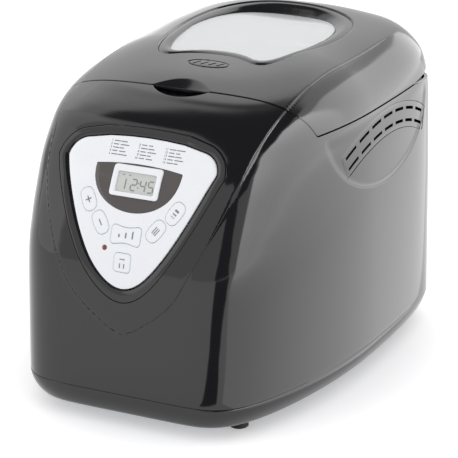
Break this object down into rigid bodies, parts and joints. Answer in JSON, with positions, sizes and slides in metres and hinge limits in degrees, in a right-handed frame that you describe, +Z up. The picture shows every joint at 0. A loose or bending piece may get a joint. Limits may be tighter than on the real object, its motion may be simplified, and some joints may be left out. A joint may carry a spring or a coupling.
{
  "type": "bread machine",
  "caption": "Countertop bread machine: barrel-sided glossy housing, sloping shield-shaped control panel, hinged domed lid with a viewing window, lift-out pan and belt-driven kneading paddle.",
  "frame": {"origin": "on the table, under the middle of the body's bounding box", "axes": "+Z up, the control panel faces -Y, the lid hinges at the +Y end, +X is the width"},
  "size_m": [0.264, 0.378, 0.2857],
  "materials": {
    "body_dark": "smooth gloss moulding",
    "lid_grey": "smooth gloss moulding",
    "base_dark": "satin moulding",
    "foot_rubber": "matt",
    "zinc_sheet": "zinc-plated sheet",
    "screw_steel": "zinc-plated",
    "post_plastic": "moulded",
    "gland_black": "moulded",
    "pocket_black": "smooth gloss moulding",
    "deck_black": "fine texture",
    "chamber_sheet": "pressed sheet, dull",
    "element_steel": "heat-dulled tube",
    "clip_steel": "plain",
    "sensor_steel": "plain",
    "socket_cast": "die-cast, bare",
    "bush_brass": "plain",
    "shaft_steel": "ground",
    "coupler_cast": "die-cast, bare",
    "pulley_black": "moulded",
    "pulley_steel": "turned",
    "belt_rubber": "matt",
    "fan_grey": "moulded",
    "motor_enamel": "enamelled laminations",
    "capacitor_white": "moulded can",
    "pan_coat": "non-stick coating",
    "bail_wire": "plain wire",
    "paddle_coat": "non-stick coating",
    "window_clear": "clear, polished",
    "window_rim": "gloss black",
    "vent_grey": "smooth moulding",
    "liner_black": "fine texture",
    "inner_glass": "toughened",
    "seal_silicone": "soft, matt",
    "hinge_steel": "plain",
    "bezel_black": "high gloss",
    "fascia_white": "smooth gloss",
    "dee_brown": "high gloss",
    "lcd_white": "smooth gloss",
    "lcd_grey": "liquid-crystal display",
    "key_white": "satin, soft touch",
    "led_red": "clear red lens",
    "board_green": "solder mask"
  },
  "bodies": {
    "body": {"base_ring": "base_dark", "feet": "foot_rubber", "base_plate": "zinc_sheet", "base_screws": "screw_steel", "deck_posts": "post_plastic", "housing": "body_dark", "cord_gland": "gland_black", "finger_pocket": "pocket_black", "deck": "deck_black", "oven_chamber": "chamber_sheet", "heating_element": "element_steel", "element_clips": "clip_steel", "temperature_sensor": "sensor_steel", "pan_socket": "socket_cast", "bearing_block": "socket_cast", "shaft_bush": "bush_brass", "drive_belt": "belt_rubber", "motor": "motor_enamel", "motor_bracket": "zinc_sheet", "capacitor": "capacitor_white", "hinge_brackets": "hinge_steel", "hinge_pins": "shaft_steel", "control_bezel": "bezel_black", "control_fascia": "fascia_white", "display_surround": "dee_brown", "lcd_frame": "lcd_white", "lcd_screen": "lcd_grey", "status_led": "led_red", "control_board": "board_green", "board_posts": "post_plastic", "side_vent_left": "vent_grey", "side_vent_right": "vent_grey"},
    "drive": {"drive_shaft": "shaft_steel", "drive_coupler": "coupler_cast", "large_pulley": "pulley_black"},
    "rotor": {"motor_shaft": "shaft_steel", "motor_fan": "fan_grey", "small_pulley": "pulley_steel"},
    "pan": {"pan": "pan_coat", "pan_foot": "socket_cast", "pan_bush": "bush_brass"},
    "paddle": {"pan_spindle": "shaft_steel", "spindle_wing": "coupler_cast", "kneading_paddle": "paddle_coat"},
    "bail": {"pan_handle": "bail_wire"},
    "lid": {"lid_shell": "lid_grey", "window_outer": "window_clear", "window_frame": "window_rim", "steam_vent": "vent_grey", "lid_liner": "liner_black", "window_inner": "inner_glass", "lid_seal": "seal_silicone", "lid_hinge_arms": "liner_black"},
    "plus_key": {"key_plus": "key_white"},
    "minus_key": {"key_minus": "key_white"},
    "size_key": {"key_size": "key_white"},
    "menu_key": {"key_menu": "key_white"},
    "shade_key": {"key_shade": "key_white"},
    "start_key": {"key_start": "key_white"}
  },
  "joints": [
    {"name": "lid_hinge", "type": "hinge", "parent": "body", "child": "lid", "pos_m": [0, 0.185, 0.229], "axis": [-1, 0, 0], "range_deg": [0, 85]},
    {"name": "pan_lift", "type": "slide", "parent": "body", "child": "pan", "axis": [0, 0, 1], "range_m": [0, 0.02]},
    {"name": "bail_hinge", "type": "hinge", "parent": "pan", "child": "bail", "pos_m": [0, 0.052, 0.173], "axis": [0, 1, 0], "range_deg": [0, 144]},
    {"name": "drive_spin", "type": "hinge", "parent": "body", "child": "drive", "pos_m": [0, 0.052, 0.023], "axis": [0, 0, 1], "continuous": true},
    {"name": "rotor_spin", "type": "hinge", "parent": "body", "child": "rotor", "pos_m": [0.05, -0.111, 0.023], "axis": [0, 0, 1], "continuous": true},
    {"name": "paddle_spin", "type": "hinge", "parent": "pan", "child": "paddle", "pos_m": [0, 0.052, 0.075], "axis": [0, 0, 1], "continuous": true},
    {"name": "plus_press", "type": "slide", "parent": "body", "child": "plus_key", "axis": [0, 0.9613, -0.2756], "range_m": [0, 0.001], "stiffness_N_per_m": 500, "springref_m": -0.0006},
    {"name": "minus_press", "type": "slide", "parent": "body", "child": "minus_key", "axis": [0, 0.9613, -0.2756], "range_m": [0, 0.001], "stiffness_N_per_m": 500, "springref_m": -0.0006},
    {"name": "size_press", "type": "slide", "parent": "body", "child": "size_key", "axis": [0, 0.9613, -0.2756], "range_m": [0, 0.001], "stiffness_N_per_m": 500, "springref_m": -0.0006},
    {"name": "menu_press", "type": "slide", "parent": "body", "child": "menu_key", "axis": [0, 0.9613, -0.2756], "range_m": [0, 0.001], "stiffness_N_per_m": 500, "springref_m": -0.0006},
    {"name": "shade_press", "type": "slide", "parent": "body", "child": "shade_key", "axis": [0, 0.9613, -0.2756], "range_m": [0, 0.001], "stiffness_N_per_m": 500, "springref_m": -0.0006},
    {"name": "start_press", "type": "slide", "parent": "body", "child": "start_key", "axis": [0, 0.9613, -0.2756], "range_m": [0, 0.001], "stiffness_N_per_m": 500, "springref_m": -0.0006}
  ],
  "couplings": [
    {"joint": "rotor_spin", "follows": "drive_spin", "ratio": 4},
    {"joint": "paddle_spin", "follows": "drive_spin", "ratio": 1}
  ]
}
